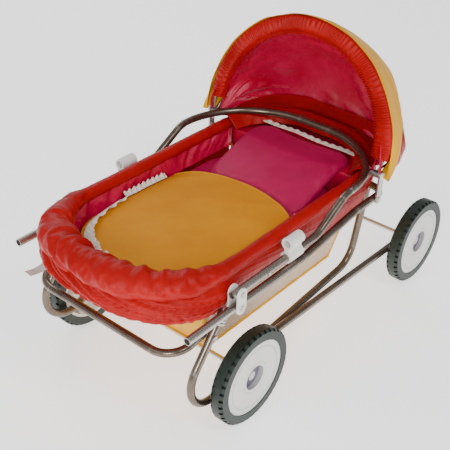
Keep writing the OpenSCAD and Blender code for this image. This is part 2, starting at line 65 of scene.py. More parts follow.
jointAt = {j["name"]: np.array(j["pos_m"]) for j in frame["joints"] if "pos_m" in j}
shellLo, shellHi = boxOf("bassinet_shell")
basketLo, basketHi = boxOf("basket")
mattressLo, mattressHi = boxOf("mattress")
blanketHi = boxOf("blanket")[1]
pillowLo, pillowHi = boxOf("pillow")
canopyHi = boxOf("hood_canopy")[1]
hingeAt = jointAt["leg_unfold"]
hoodPivot = jointAt["hood_fold"]
rimTop = shellHi[2]
crossLo, crossHi = boxOf("hood_cross_tube")
stepX = crossLo[0] - 0.0145           # end of the bassinet's deep part
stepZ = crossHi[2] + 0.0065           # underside of its shallow head end
pillowEdge = pillowHi[0] + 0.052      # where the pillow's lace lies
headLine, footLine = 0.015, 0.042     # how far the underside stops short of the rim at either end
sideLine = 0.011


def lerp(a, b, t):
    return a + (b - a) * t


def smooth(t):
    t = np.clip(t, 0, 1)
    return t * t * (3 - 2 * t)


def perlin(points, scale, seed=0.0):
    # smooth noise from -1 to 1 for a list of points
    return np.array([noise.noise(Vector((p[0] * scale + seed, p[1] * scale - seed, p[2] * scale + 2 * seed)))
                     for p in points])


def foldNoise(a, b, seed):
    # long soft creases: a runs across the creases, b along them
    flat = np.c_[np.ravel(a), np.ravel(b), np.full(np.size(a), seed)]
    bent = flat.copy()
    bent[:, 0] += 0.6 * perlin(flat, 0.7, seed + 3.1)
    crease = 1 - np.abs(perlin(bent, 1.0, seed)) * 2.2
    fine = 1 - np.abs(perlin(bent * np.array([2.3, 1.2, 1]), 1.0, seed + 7.7)) * 2.2
    return (0.7 * np.clip(crease, -1, 1) + 0.3 * np.clip(fine, -1, 1)).reshape(np.shape(a))


def ovalPath(x0, x1, half, r, count):
    # a rounded rectangle as evenly spaced points with outward normals, from the head end's middle
    straightX, straightY = (x1 - x0) - 2 * r, 2 * half - 2 * r
    arc = math.pi * r / 2
    total = 2 * straightX + 2 * straightY + 4 * arc
    pieces = [("y", straightY / 2), ("c", arc), ("x", straightX), ("c", arc), ("y", straightY),
              ("c", arc), ("x", straightX), ("c", arc), ("y", straightY / 2)]
    points, normals = [], []
    for i in range(count):
        s = total * i / count
        at, heading = np.array([x1, 0.0]), math.pi / 2
        for kind, length in pieces:
            step = min(s, length)
            if kind == "c":
                turn = step / r
                centre = at + r * np.array([-math.sin(heading), math.cos(heading)])
                heading += turn
                at = centre + r * np.array([math.sin(heading), -math.cos(heading)])
            else:
                at = at + step * np.array([math.cos(heading), math.sin(heading)])
            s -= step
            if s <= 1e-12:
                break
        points.append(at)
        normals.append([math.sin(heading), -math.cos(heading)])
    return np.array(points), np.array(normals)


def addMesh(name, verts, faces, material):
    mesh = bpy.data.meshes.new(name)
    mesh.from_pydata([tuple(map(float, v)) for v in verts], [], faces)
    mesh.polygons.foreach_set("use_smooth", [True] * len(mesh.polygons))
    obj = bpy.data.objects.new(name, mesh)
    scene.collection.objects.link(obj)
    if material:
        mesh.materials.append(material)
    return obj


def gridMesh(name, grid, material, loopU=False, loopV=False):
    # grid is rows by columns by 3
    rows, cols = grid.shape[:2]
    faces = []
    for i in range(rows if loopU else rows - 1):
        for j in range(cols if loopV else cols - 1):
            i2, j2 = (i + 1) % rows, (j + 1) % cols
            faces.append((i * cols + j, i * cols + j2, i2 * cols + j2, i2 * cols + j))
    return addMesh(name, grid.reshape(-1, 3), faces, material)


def addModifier(obj, kind, **values):
    modifier = obj.modifiers.new(kind.title(), kind)
    for key, value in values.items():
        setattr(modifier, key, value)
    return modifier


def applyModifiers(obj):
    graph = bpy.context.evaluated_depsgraph_get()
    mesh = bpy.data.meshes.new_from_object(obj.evaluated_get(graph))
    obj.modifiers.clear()
    old = obj.data
    obj.data = mesh
    bpy.data.meshes.remove(old)
    return obj


def thicken(obj, thickness, offset=0):
    addModifier(obj, "SOLIDIFY", thickness=thickness, offset=offset)
    return applyModifiers(obj)


def soften(obj, levels=1):
    addModifier(obj, "SUBSURF", levels=levels, render_levels=levels)
    return applyModifiers(obj)


def tubeAlong(name, path, radii, material, around=12, closed=False, flat=1.0, upHint=(0, 0, 1)):
    # a bar or ribbon swept along points; flat squeezes it across its width
    path = np.array(path, float)
    count = len(path)
    radii = np.broadcast_to(np.array(radii, float), (count,))
    rows = []
    for i in range(count):
        before = path[(i - 1) % count] if closed else path[max(i - 1, 0)]
        after = path[(i + 1) % count] if closed else path[min(i + 1, count - 1)]
        ahead = after - before
        ahead = ahead / max(np.linalg.norm(ahead), 1e-9)
        side = np.cross(ahead, upHint)
        if np.linalg.norm(side) < 1e-3:
            side = np.cross(ahead, (1, 0, 0))
        side = side / np.linalg.norm(side)
        up = np.cross(side, ahead)
        angles = np.linspace(0, 2 * math.pi, around, endpoint=False)
        rows.append([path[i] + radii[i] * (math.cos(a) * side + flat * math.sin(a) * up) for a in angles])
    obj = gridMesh(name, np.array(rows), material, loopU=closed, loopV=True)
    if not closed:
        capEnds(obj, count, around)
    return obj


def capEnds(obj, rows, around):
    mesh = obj.data
    verts = [tuple(v.co) for v in mesh.vertices]
    faces = [tuple(p.vertices) for p in mesh.polygons]
    faces.append(tuple(range(around)))
    faces.append(tuple(range((rows - 1) * around, rows * around))[::-1])
    materials = list(mesh.materials)
    mesh.clear_geometry()
    mesh.from_pydata(verts, [], faces)
    mesh.polygons.foreach_set("use_smooth", [True] * len(mesh.polygons))
    mesh.materials.clear()
    for m in materials:
        mesh.materials.append(m)


def curvePoints(points, count):
    # a smooth line through a few points
    p = np.array(points, float)
    p = np.vstack([2 * p[0] - p[1], p, 2 * p[-1] - p[-2]])
    out = []
    for i in range(count):
        t = (len(p) - 3) * i / (count - 1)
        k = min(int(t), len(p) - 4)
        t -= k
        a, b, c, d = p[k:k + 4]
        out.append(0.5 * ((2 * b) + (c - a) * t + (2 * a - 5 * b + 4 * c - d) * t * t
                          + (3 * b - a - 3 * c + d) * t ** 3))
    return np.array(out)


def inflate(obj, voxel, pressure, cap, frames=20):
    # swells a closed form like a stuffed cover, each point moving no further than cap
    addModifier(obj, "REMESH", mode="VOXEL", voxel_size=voxel)
    applyModifiers(obj)
    rest = np.array([v.co for v in obj.data.vertices])
    cloth = obj.modifiers.new("Cloth", "CLOTH")
    cloth.settings.use_pressure = True
    cloth.settings.uniform_pressure_force = pressure
    cloth.settings.effector_weights.gravity = 0
    cloth.settings.quality = 4
    cloth.point_cache.frame_start = 1
    cloth.point_cache.frame_end = frames
    for f in range(1, frames + 1):
        scene.frame_set(f)
    graph = bpy.context.evaluated_depsgraph_get()
    mesh = obj.evaluated_get(graph).data
    moved = np.array([v.co for v in mesh.vertices]) - rest
    length = np.linalg.norm(moved, axis=1, keepdims=True)
    moved *= np.minimum(1, cap / np.maximum(length, 1e-9))
    obj.modifiers.clear()
    obj.data.vertices.foreach_set("co", (rest + moved).astype(np.float32).ravel())
    scene.frame_set(1)
    return obj


def smoothShade(obj, material=None):
    obj.data.polygons.foreach_set("use_smooth", [True] * len(obj.data.polygons))
    if material:
        obj.data.materials.clear()
        obj.data.materials.append(material)
    return obj


# short calls for the material nodes
class Nodes:
    def __init__(self, name):
        self.material = bpy.data.materials.new(name)
        self.material.use_nodes = True
        self.tree = self.material.node_tree
        self.shader = self.tree.nodes["Principled BSDF"]
        self.coords = self.tree.nodes.new("ShaderNodeTexCoord")

    def add(self, kind, inputs=None, **values):
        node = self.tree.nodes.new(kind)
        for key, value in values.items():
            setattr(node, key, value)
        for key, value in (inputs or {}).items():
            self.feed(node, key, value)
        return node

    def feed(self, node, key, value):
        if isinstance(value, bpy.types.NodeSocket):
            self.tree.links.new(value, node.inputs[key])
        else:
            node.inputs[key].default_value = value

    def place(self, scale=(1, 1, 1), turn=(0, 0, 0)):
        mapping = self.add("ShaderNodeMapping", {"Vector": self.coords.outputs["Object"]})
        mapping.inputs["Scale"].default_value = scale
        mapping.inputs["Rotation"].default_value = turn
        return mapping.outputs["Vector"]

    def noise(self, scale, detail=3.0, rough=0.5, vector=None):
        node = self.add("ShaderNodeTexNoise", {"Vector": vector or self.coords.outputs["Object"]})
        node.inputs["Scale"].default_value = scale
        node.inputs["Detail"].default_value = detail
        node.inputs["Roughness"].default_value = rough
        return node.outputs["Fac"]

    def mix(self, factor, a, b):
        node = self.add("ShaderNodeMix", data_type="RGBA")
        self.feed(node, 0, factor)
        for key, value in ((6, a), (7, b)):
            self.feed(node, key, (*value, 1) if isinstance(value, tuple) and len(value) == 3 else value)
        return node.outputs[2]

    def math(self, operation, a, b=0.5):
        node = self.add("ShaderNodeMath", operation=operation)
        self.feed(node, 0, a)
        self.feed(node, 1, b)
        return node.outputs[0]

    def span(self, value, low, high, toLow=0.0, toHigh=1.0):
        node = self.add("ShaderNodeMapRange", {"Value": value})
        for key, number in (("From Min", low), ("From Max", high), ("To Min", toLow), ("To Max", toHigh)):
            node.inputs[key].default_value = number
        return node.outputs["Result"]

    def bump(self, height, strength, distance, normal=None):
        node = self.add("ShaderNodeBump", {"Height": height})
        node.inputs["Strength"].default_value = strength
        node.inputs["Distance"].default_value = distance
        if normal:
            self.tree.links.new(normal, node.inputs["Normal"])
        return node.outputs["Normal"]

    def set(self, **values):
        # baseColor feeds the socket "Base Color"
        for key, value in values.items():
            socket = "".join(" " + c if c.isupper() else c for c in key)
            self.feed(self.shader, socket[0].upper() + socket[1:], value)
        return self.material


def shade(color, factor):
    return tuple(min(1.0, c * factor) for c in color)


def lacqueredTube():
    n = Nodes("lacqueredTube")
    mottled = n.noise(38, 4, 0.6)
    fine = n.noise(900, 2)
    worn = n.span(n.add("ShaderNodeNewGeometry").outputs["Pointiness"], 0.52, 0.6)
    taupe = n.mix(n.span(mottled, 0.3, 0.7), (0.115, 0.088, 0.066), (0.190, 0.150, 0.118))
    n.set(baseColor=n.mix(worn, taupe, (0.50, 0.46, 0.42)), metallic=0.85,
          roughness=n.span(fine, 0.2, 0.8, 0.2, 0.32), normal=n.bump(fine, 0.12, 0.0002))
    return n.material


def zincPlate():
    n = Nodes("zincPlate")
    grain = n.noise(300, 4, 0.7, n.place((1, 5, 1)))
    tone = n.mix(n.span(grain, 0.3, 0.7), (0.46, 0.45, 0.42), (0.68, 0.67, 0.64))
    n.set(baseColor=tone, metallic=1.0, roughness=n.span(grain, 0.2, 0.8, 0.22, 0.42),
          normal=n.bump(grain, 0.1, 0.0002))
    return n.material


def drawnWire():
    n = Nodes("drawnWire")
    grain = n.noise(500, 3, 0.6, n.place((1, 1, 6)))
    n.set(baseColor=n.mix(grain, (0.26, 0.25, 0.23), (0.42, 0.41, 0.39)), metallic=1.0,
          roughness=n.span(grain, 0.2, 0.8, 0.3, 0.5), normal=n.bump(grain, 0.1, 0.0001))
    return n.material


def mouldedPlastic(name, color, roughness, grainSize):
    n = Nodes(name)
    cloudy = n.noise(22, 4, 0.6)
    grain = n.noise(grainSize, 2)
    scuffed = n.span(n.noise(120, 6, 0.75, n.place((1, 1, 3))), 0.62, 0.72)
    tone = n.mix(n.span(cloudy, 0.3, 0.7), shade(color, 0.93), color)
    n.set(baseColor=n.mix(scuffed, tone, shade(color, 0.86)),
          roughness=n.span(grain, 0.2, 0.8, roughness - 0.05, roughness + 0.1),
          normal=n.bump(grain, 0.18, 0.00025))
    n.shader.inputs["IOR"].default_value = 1.49
    return n.material


def wheelHub():
    # white face with painted shade in a recess round each axle, and a moulded ring near the tyre with painted
    # shade in its groove
    n = Nodes("hubPlastic")
    grain = n.noise(350, 2)
    split = n.add("ShaderNodeSeparateXYZ", {"Vector": n.coords.outputs["Object"]})
    reach = []
    for axle in ("foot_axle", "hood_axle"):
        lo, hi = boxOf(axle)
        dx = n.math("SUBTRACT", split.outputs["X"], float(lo[0] + hi[0]) / 2)
        dz = n.math("SUBTRACT", split.outputs["Z"], float(lo[2] + hi[2]) / 2)
        squares = n.math("ADD", n.math("MULTIPLY", dx, dx), n.math("MULTIPLY", dz, dz))
        reach.append(n.math("SQRT", squares, 0.0))
    radius = n.math("MINIMUM", reach[0], reach[1])
    paintedRecessShade = n.span(radius, 0.0207, 0.0214, 1.0, 0.0)
    ring = n.math("MULTIPLY", n.span(radius, 0.0525, 0.0535), n.span(radius, 0.0555, 0.0565, 1.0, 0.0))
    inner = n.math("MULTIPLY", n.span(radius, 0.0262, 0.0268), n.span(radius, 0.028, 0.0286, 1.0, 0.0))
    grooveBumpAndShade = n.math("MAXIMUM", ring, inner)
    tone = n.mix(n.span(n.noise(18, 4), 0.3, 0.7), (0.74, 0.73, 0.70), (0.82, 0.81, 0.79))
    # painted shade along the moulded grooves; the same mask also drives their bump
    tone = n.mix(n.math("MULTIPLY", grooveBumpAndShade, 0.45), tone, (0.42, 0.41, 0.42))
    # painted shade: dark lilac-grey inside the recess round each axle
    tone = n.mix(paintedRecessShade, tone, (0.16, 0.14, 0.18))
    n.set(baseColor=tone, roughness=n.span(grain, 0.2, 0.8, 0.3, 0.42),
          normal=n.bump(grooveBumpAndShade, 0.5, 0.001, n.bump(grain, 0.15, 0.0002)))
    n.shader.inputs["IOR"].default_value = 1.49
    return n.material


def tyreRubber():
    n = Nodes("tyreRubber")
    grain = n.noise(700, 4, 0.7)
    dusty = n.span(n.noise(45, 5, 0.7), 0.5, 0.72)
    tone = n.mix(dusty, (0.004, 0.013, 0.008), (0.014, 0.026, 0.019))
    n.set(baseColor=tone, roughness=n.span(grain, 0.2, 0.8, 0.38, 0.6), normal=n.bump(grain, 0.3, 0.0003))
    return n.material


def fibreBoard():
    n = Nodes("fibreBoard")
    fibre = n.noise(200, 5, 0.7, n.place((1, 6, 6)))
    n.set(baseColor=n.mix(fibre, (0.30, 0.17, 0.08), (0.46, 0.29, 0.15)), roughness=0.8,
          normal=n.bump(fibre, 0.3, 0.0004))
    return n.material


def wovenBump(n, threads, strength):
    # two crossed sets of threads, in object space
    warp = n.add("ShaderNodeTexWave", {"Vector": n.place((1, 1, 1), (0.5, 0.3, 0.78))}, bands_direction="X")
    weft = n.add("ShaderNodeTexWave", {"Vector": n.place((1, 1, 1), (0.5, 0.3, 0.78))}, bands_direction="Y")
    for wave in (warp, weft):
        wave.inputs["Scale"].default_value = threads
        wave.inputs["Distortion"].default_value = 0.6
        wave.inputs["Detail"].default_value = 1.0
    weave = n.math("MULTIPLY", warp.outputs["Fac"], weft.outputs["Fac"])
    return weave, n.bump(weave, strength, 0.00025)


def polyester(name, color, deep, roughness, sheen=0.02, threads=420, weaveGapShade=0.12, gloss=0.2):
    n = Nodes(name)
    weave, woven = wovenBump(n, threads, 0.35)
    cloudy = n.noise(14, 4, 0.6)
    wrinkles = n.noise(75, 5, 0.62, n.place((1, 1, 1), (0.4, 0.2, 0.6)))
    tone = n.mix(n.span(cloudy, 0.32, 0.7), deep, color)
    # painted shade: darker in the gaps between the threads, where the weave bump is low
    tone = n.mix(n.span(weave, 0.0, 1.0, weaveGapShade, 0.0), tone, shade(deep, 0.7))
    n.set(baseColor=tone, roughness=n.span(wrinkles, 0.3, 0.7, roughness - 0.06, roughness + 0.06),
          normal=n.bump(wrinkles, 0.35, 0.0012, woven))
    n.shader.inputs["Sheen Weight"].default_value = sheen
    n.shader.inputs["Sheen Roughness"].default_value = 0.4
    n.shader.inputs["Specular IOR Level"].default_value = gloss
    return n.material


def gauze(name, color, holeSize, holeShare):
    # knitted net: round holes in a soft yarn
    n = Nodes(name)
    cells = n.add("ShaderNodeTexVoronoi", {"Vector": n.place((1, 1, 1), (0, 0, 0.3))}, feature="F1")
    cells.inputs["Scale"].default_value = 1 / holeSize
    cells.inputs["Randomness"].default_value = 0.25
    yarn = n.span(cells.outputs["Distance"], holeShare - 0.06, holeShare + 0.06)
    tone = n.mix(n.noise(60, 3), shade(color, 0.88), color)
    n.set(baseColor=tone, roughness=0.75, alpha=n.math("MAXIMUM", yarn, 0.12),
          normal=n.bump(cells.outputs["Distance"], 0.4, 0.0004))
    n.shader.inputs["Sheen Weight"].default_value = 0.2
    return n.material


finishes = {
    "tube": lacqueredTube(),
    "zinc": zincPlate(),
    "hood_wire": drawnWire(),
    "white_plastic": mouldedPlastic("hingePlastic", (0.84, 0.83, 0.79), 0.4, 500),
    "black_plastic": mouldedPlastic("capPlastic", (0.02, 0.02, 0.022), 0.5, 500),
    "hub": wheelHub(),
    "tyre": tyreRubber(),
    "board": fibreBoard(),
    "red_cloth": polyester("redCloth", (0.46, 0.0006, 0.0003), (0.33, 0.0003, 0.0002), 0.36, gloss=0.2),
    "pink_satin": polyester("pinkSatin", (0.62, 0.006, 0.070), (0.46, 0.001, 0.026), 0.27, 0.03, 620,
                            gloss=0.5),
    "yellow_cloth": polyester("yellowCloth", (0.82, 0.41, 0.001), (0.74, 0.34, 0.0005), 0.5),
    "blanket_cloth": polyester("blanketCloth", (0.70, 0.275, 0.001), (0.62, 0.22, 0.0005), 0.58, 0.02, 300,
                               gloss=0.12),
    "mesh_cloth": gauze("meshCloth", (0.86, 0.62, 0.42), 0.0032, 0.40),
    "lace": gauze("laceCloth", (0.90, 0.82, 0.70), 0.0028, 0.34),
}
ribbonCloth = polyester("ribbonCloth", (0.80, 0.78, 0.74), (0.66, 0.64, 0.60), 0.45, 0.3, 500)
pillowCloth = polyester("pillowCloth", (0.48, 0.004, 0.085), (0.38, 0.002, 0.060), 0.42, 0.04, 500)
print("materials made:", len(finishes) + 2)

slotOf = {s["node"]: s["material_slot"] for s in frame["record"]["subparts"]}
for nodeName, nodeObject in frame["nodes"].items():
    nodeObject.data.materials.clear()
    nodeObject.data.materials.append(finishes[slotOf[nodeName]])


def finishPiece(obj, body, slotName, *nodes):
    if nodes:
        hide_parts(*nodes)
    if body:
        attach(obj, body)
    return obj


bassinet = {
    "columns": 420,
    "outerRows": 40,
    "liningRows": 30,
    "footFolds": 19 * mm,    # depth of the gathers round the foot end
    "sideFolds": 3.5 * mm,
    "rollRadius": 10 * mm,
    "clothThickness": 0.8 * mm,
}


def shellOutline(share, count, inset=0.0):
    # share 0 is the underside's outline and 1 the rim's, as the CAD shell has them
    x0 = lerp(shellLo[0] + footLine, shellLo[0], share) + inset
    x1 = lerp(shellHi[0] - headLine, shellHi[0], share) - inset
    half = lerp(shellHi[1] - sideLine, shellHi[1], share) - inset
    r = lerp(0.110, 0.130, share) - inset
    return ovalPath(x0, x1, half, r, count)


def footShare(x):
    # 1 at the foot end, 0 along the sides
    return smooth((shellLo[0] + 0.17 - x) / 0.15)


def underside(x):
    # height of the cloth under the bassinet, with the step before the cross tube
    return lerp(shellLo[2] - 0.002, stepZ - 0.0005, smooth((np.asarray(x) - stepX + 0.004) / 0.005))


def makeBassinetOuter():
    count, rows = bassinet["columns"], bassinet["outerRows"]
    low, lowOut = shellOutline(0.0, count)
    top, topOut = shellOutline(1.0, count)
    foot = footShare(top[:, 0])
    s = np.arange(count) * 60.0 / count
    lowZ = underside(top[:, 0])
    grid = []
    for i in range(rows):
        t = i / (rows - 1)
        z = lerp(lowZ, rimTop - 0.008, t)
        rise = smooth((z - shellLo[2]) / (rimTop - shellLo[2]) * 1.2)[:, None]
        p, out = lerp(low, top, rise), lerp(lowOut, topOut, rise)
        broad = foldNoise(s * lerp(0.55, 0.8, t) + 0.5 * t, t * 1.3 + 0.12 * s, 4.0)
        fold = foldNoise(s * lerp(1.1, 1.7, t), np.full(count, t * 1.6), 14.0)
        pleats = foldNoise(s * 3.1, np.full(count, t * 1.1), 9.0)
        depth = lerp(bassinet["sideFolds"], bassinet["footFolds"], foot)
        depth = depth * math.sin(math.pi * (0.10 + 0.86 * t)) ** 0.6
        belly = (0.0035 + 0.015 * foot) * math.sin(math.pi * min(1.0, 1.15 * t))
        shaped = 0.5 * broad * foot + 0.5 * fold + 0.22 * pleats
        push = belly + depth * shaped
        sink = foot * 0.007 * (1 - t) * (0.4 + shaped)
        xy = p + out * push[:, None]
        grid.append(np.c_[xy, z - sink])
    grid = np.array(grid)
    obj = gridMesh("bassinet_outer", grid, finishes["red_cloth"], loopV=True)
    obj = soften(thicken(obj, bassinet["clothThickness"]))
    return finishPiece(obj, "frame", "red_cloth", "bassinet_shell")


def floorGrid(lift, inset):
    # a floor that follows the underside, step included
    lowLine, _ = shellOutline(0.0, 600, inset)
    highLine, _ = shellOutline(1.0, 600, inset)
    xs = np.concatenate([np.linspace(lowLine[:, 0].min() + 0.0015, stepX - 0.006, 60),
                         np.linspace(stepX - 0.005, stepX + 0.003, 14),
                         np.linspace(stepX + 0.005, highLine[:, 0].max() - 0.006, 30)])
    vs = np.linspace(-1, 1, 41)
    grid = np.zeros((len(xs), len(vs), 3))
    for i, x in enumerate(xs):
        z = float(underside(x))
        share = smooth((z - shellLo[2]) / (rimTop - shellLo[2]) * 1.2)
        line = lerp(lowLine, highLine, share)
        half = np.abs(line[np.abs(line[:, 0] - x) < 0.004, 1]).max() - 0.001
        grid[i] = [(x, v * half, z + lift) for v in vs]
    return grid


def makeBassinetFloors():
    grid = floorGrid(0.0, 0.0)
    obj = thicken(gridMesh("bassinet_bottom", grid, finishes["yellow_cloth"]), bassinet["clothThickness"])
    finishPiece(obj, "frame", "yellow_cloth")
    grid = floorGrid(0.0052, 0.010)
    grid = grid[grid[:, 0, 0] > stepX - 0.03]
    grid[..., 0] -= 0.006
    grid[..., 2] += 0.0012 * foldNoise(grid[..., 0] * 24, grid[..., 1] * 18, 57.0)
    obj = thicken(gridMesh("head_floor", grid, finishes["pink_satin"]), 0.6 * mm)
    return finishPiece(obj, "frame", "pink_satin")


def makeRimRoll():
    # padded, gathered roll that hides the steel hoop
    count, around = bassinet["columns"], 34
    line, out = shellOutline(1.0, count, inset=0.0085)
    s = np.arange(count) * 60.0 / count
    foot = footShare(line[:, 0])
    bulge = foldNoise(s * 0.45, np.zeros(count), 21.0)
    radius = bassinet["rollRadius"] * (1.06 + 0.42 * foot + (0.07 + 0.24 * foot) * bulge)
    rows = []
    for k in range(around):
        a = 2 * math.pi * k / around
        broad = foldNoise(s * 0.9 + 0.9 * math.sin(a), np.full(count, 0.5 * math.cos(a)), 5.0)
        wave = foldNoise(s * 2.1 + 0.8 * math.sin(a + 0.6), np.full(count, 0.6 * a), 15.0)
        crimp = foldNoise(s * 4.2 + 0.5 * math.sin(a), np.full(count, 0.9 * a), 25.0)
        r = radius * (1 + (0.04 + 0.32 * foot) * broad + (0.05 + 0.16 * foot) * wave
                      + (0.01 + 0.06 * foot) * crimp)
        xy = line + out * (r * math.cos(a) * (1 + 0.25 * foot))[:, None]
        z = rimTop - 0.007 + 0.005 * foot * bulge + r * 0.9 * math.sin(a)
        rows.append(np.c_[xy, z])
    obj = gridMesh("rim_roll", np.array(rows), finishes["red_cloth"], loopU=True, loopV=True)
    return finishPiece(soften(obj), "frame", "red_cloth", "bassinet_rim")


def makeBassinetLining():
    count, rows = bassinet["columns"], bassinet["liningRows"]
    inset = 0.016
    low, lowOut = shellOutline(0.0, count, inset=inset + 0.006)
    top, topOut = shellOutline(1.0, count, inset=inset)
    s = np.arange(count) * 60.0 / count
    floorZ = np.where(top[:, 0] > stepX - 0.012, stepZ + 0.004, mattressHi[2] + 0.001)
    grid = []
    for i in range(rows):
        t = i / (rows - 1)
        z = lerp(floorZ, rimTop - 0.002, t)
        share = smooth((z - shellLo[2]) / (rimTop - shellLo[2]) * 1.15)[:, None]
        p = lerp(low, top, share)
        out = lerp(lowOut, topOut, share)
        fold = foldNoise(s * 0.62 + 1.1 * t, 0.8 * t + 0.1 * s, 41.0)
        fine = foldNoise(s * 1.5 - 0.7 * t, np.full(count, 1.0 * t), 47.0)
        depth = 0.0088 * math.sin(math.pi * (0.15 + 0.75 * t))
        xy = p + out * (0.001 - 0.004 * math.sin(math.pi * t) + depth * (0.8 * fold + 0.3 * fine))[:, None]
        grid.append(np.c_[xy, z])
    grid = np.array(grid)
    obj = gridMesh("bassinet_lining", grid, finishes["pink_satin"], loopV=True)
    obj = soften(thicken(obj, 0.6 * mm))
    return finishPiece(obj, "frame", "pink_satin")


def roundedSlab(name, lo, hi, r, crown, material, count=160, rings=14):
    # crowned pad with a rounded outline, its edge pulled in
    line, _ = ovalPath(lo[0], hi[0], (hi[1] - lo[1]) / 2, r, count)
    centre = line.mean(0)
    rows = []
    steps = [(math.cos(a), math.sin(a)) for a in np.linspace(-math.pi / 2, math.pi / 2, rings)]
    mid, halfT = (lo[2] + hi[2]) / 2, (hi[2] - lo[2]) / 2
    rows.append(np.c_[centre + (line - centre) * 0.02, np.full(count, lo[2])])
    for share in (0.35, 0.7, 0.9):
        rows.append(np.c_[centre + (line - centre) * share, np.full(count, lo[2])])
    for c, s in steps[1:-1]:
        xy = line - (1 - c) * halfT * 1.2 * (line - centre) / np.linalg.norm(line - centre, axis=1)[:, None]
        rows.append(np.c_[xy, np.full(count, mid + halfT * s)])
    for share in (0.9, 0.7, 0.35, 0.02):
        rows.append(np.c_[centre + (line - centre) * share, np.full(count, hi[2] + crown * (1 - share ** 2))])
    obj = gridMesh(name, np.array(rows), material, loopV=True)
    capEnds(obj, len(rows), count)
    return obj


def makeMattress():
    obj = roundedSlab("mattress_pad", mattressLo, mattressHi, 0.088, 0.001, pillowCloth)
    return finishPiece(obj, "frame", "pink_satin", "mattress")


pillowLook = {"wider": 11 * mm, "towardsFoot": 36 * mm, "voxel": 5 * mm, "pressure": 4.0, "cap": 6 * mm}


def pillowTop(x):
    # the pillow rises from the blanket to the shallow head end
    x0 = pillowLo[0] - pillowLook["towardsFoot"]
    return lerp(mattressHi[2] + 0.003, stepZ + 0.012, smooth((np.asarray(x) - x0) / (stepX - x0 - 0.004)))


def makePillow():
    wider = pillowLook["wider"]
    lo = np.array([pillowLo[0] - pillowLook["towardsFoot"], pillowLo[1] - wider, 0.0])
    hi = np.array([pillowEdge, pillowHi[1] + wider, 0.012])
    obj = roundedSlab("pillow_pad", lo, hi, 0.030, 0.002, pillowCloth)
    inflate(obj, pillowLook["voxel"], pillowLook["pressure"], pillowLook["cap"])
    smoothShade(obj, pillowCloth)
    co = np.array([v.co for v in obj.data.vertices])
    crease = foldNoise(co[:, 0] * 22 + co[:, 1] * 7, co[:, 1] * 14, 52.0)
    dip = 0.004 * smooth(np.abs(co[:, 1]) / 0.1) * smooth((stepX - co[:, 0]) / 0.05)
    top = pillowTop(co[:, 0]) - dip
    co[:, 2] = top - 0.010 + np.clip(co[:, 2], -0.002, 0.018) + 0.0016 * crease
    co[:, 2] = np.minimum(co[:, 2], rimTop - 0.004)
    obj.data.vertices.foreach_set("co", co.astype(np.float32).ravel())
    return finishPiece(soften(obj), "frame", "pink_satin", "pillow")


blanketLook = {
    "topRise": 8 * mm,
    "thickness": 2.2 * mm,
    "arch": 62 * mm,
    "wrinkle": 1.8 * mm,
    "inset": 27 * mm,
}


def blanketGrid(lift=0.0, rows=90, cols=90):
    # it fills the bassinet's width from the foot end to an arched edge by the pillow
    inset = blanketLook["inset"]
    x0 = lerp(shellLo[0] + footLine, shellLo[0], 0.5) + inset
    half = lerp(shellHi[1] - sideLine, shellHi[1], 0.5) - inset
    r = 0.120 - inset
    x1 = blanketHi[0] + 0.002
    grid = np.zeros((rows, cols, 3))
    for i in range(rows):
        u = i / (rows - 1)
        for j in range(cols):
            v = math.sin(math.pi / 2 * (-1 + 2 * j / (cols - 1)))
            y = v * half
            past = max(0.0, abs(y) - (half - r))
            footX = x0 + r - math.sqrt(max(0.0, r * r - past * past))
            archX = x1 - blanketLook["arch"] * (1 - math.sqrt(max(0.0, 1 - 0.96 * v * v)))
            crown = (1 - 0.55 * v * v) * math.sin(math.pi * lerp(0.3, 0.88, u))
            z = blanketHi[2] + blanketLook["topRise"] * crown
            grid[i, j] = (lerp(footX, archX, u), y, z - 0.004 * abs(v) ** 8 + lift)
    a, b = grid[..., 0] * 9, grid[..., 1] * 9
    soft = perlin(np.c_[a.ravel(), b.ravel(), np.zeros(a.size)], 1.0, 61.0).reshape(a.shape)
    crease = foldNoise(grid[..., 0] * 12 + grid[..., 1] * 10, grid[..., 0] * 5 - grid[..., 1] * 6, 63.0)
    grid[..., 2] += blanketLook["wrinkle"] * (1.2 * soft + 0.6 * crease)
    return grid


def makeBlanket():
    grid = blanketGrid()
    obj = gridMesh("blanket_sheet", grid, finishes["blanket_cloth"])
    obj = soften(thicken(obj, blanketLook["thickness"]))
    finishPiece(obj, "frame", "blanket_cloth", "blanket")
    hemAround(grid)
    return obj


def hemAround(grid):
    # rolled hem along the arched edge
    edge = grid[-1] + np.array([0, 0, 0.0004])
    hem = tubeAlong("blanket_hem", edge, 0.0022, finishes["blanket_cloth"], around=10, flat=0.8)
    finishPiece(hem, "frame", "blanket_cloth")


def laceStrip(name, base, direction, width, scallops, wave=2 * mm):
    # gathered lace: a strip with a scalloped free edge that ripples along its base line
    count = len(base)
    turn = np.arange(count) * 2 * math.pi * scallops
    ripple = np.sin(turn / count)
    rows = []
    for k in range(9):
        t = k / 8
        reach = width * t * (1 + (0.16 * np.abs(ripple) if k > 5 else 0))
        p = base + direction * np.reshape(reach, (-1, 1) if np.ndim(reach) else (1, 1))
        p = p + np.array([0, 0, 1.0]) * (wave * t * np.sin(turn * 0.5 / count))[:, None]
        rows.append(p)
    grid = np.array(rows)
    obj = gridMesh(name, grid, finishes["lace"])
    obj = thicken(obj, 0.5 * mm)
    return finishPiece(obj, "frame", "lace")


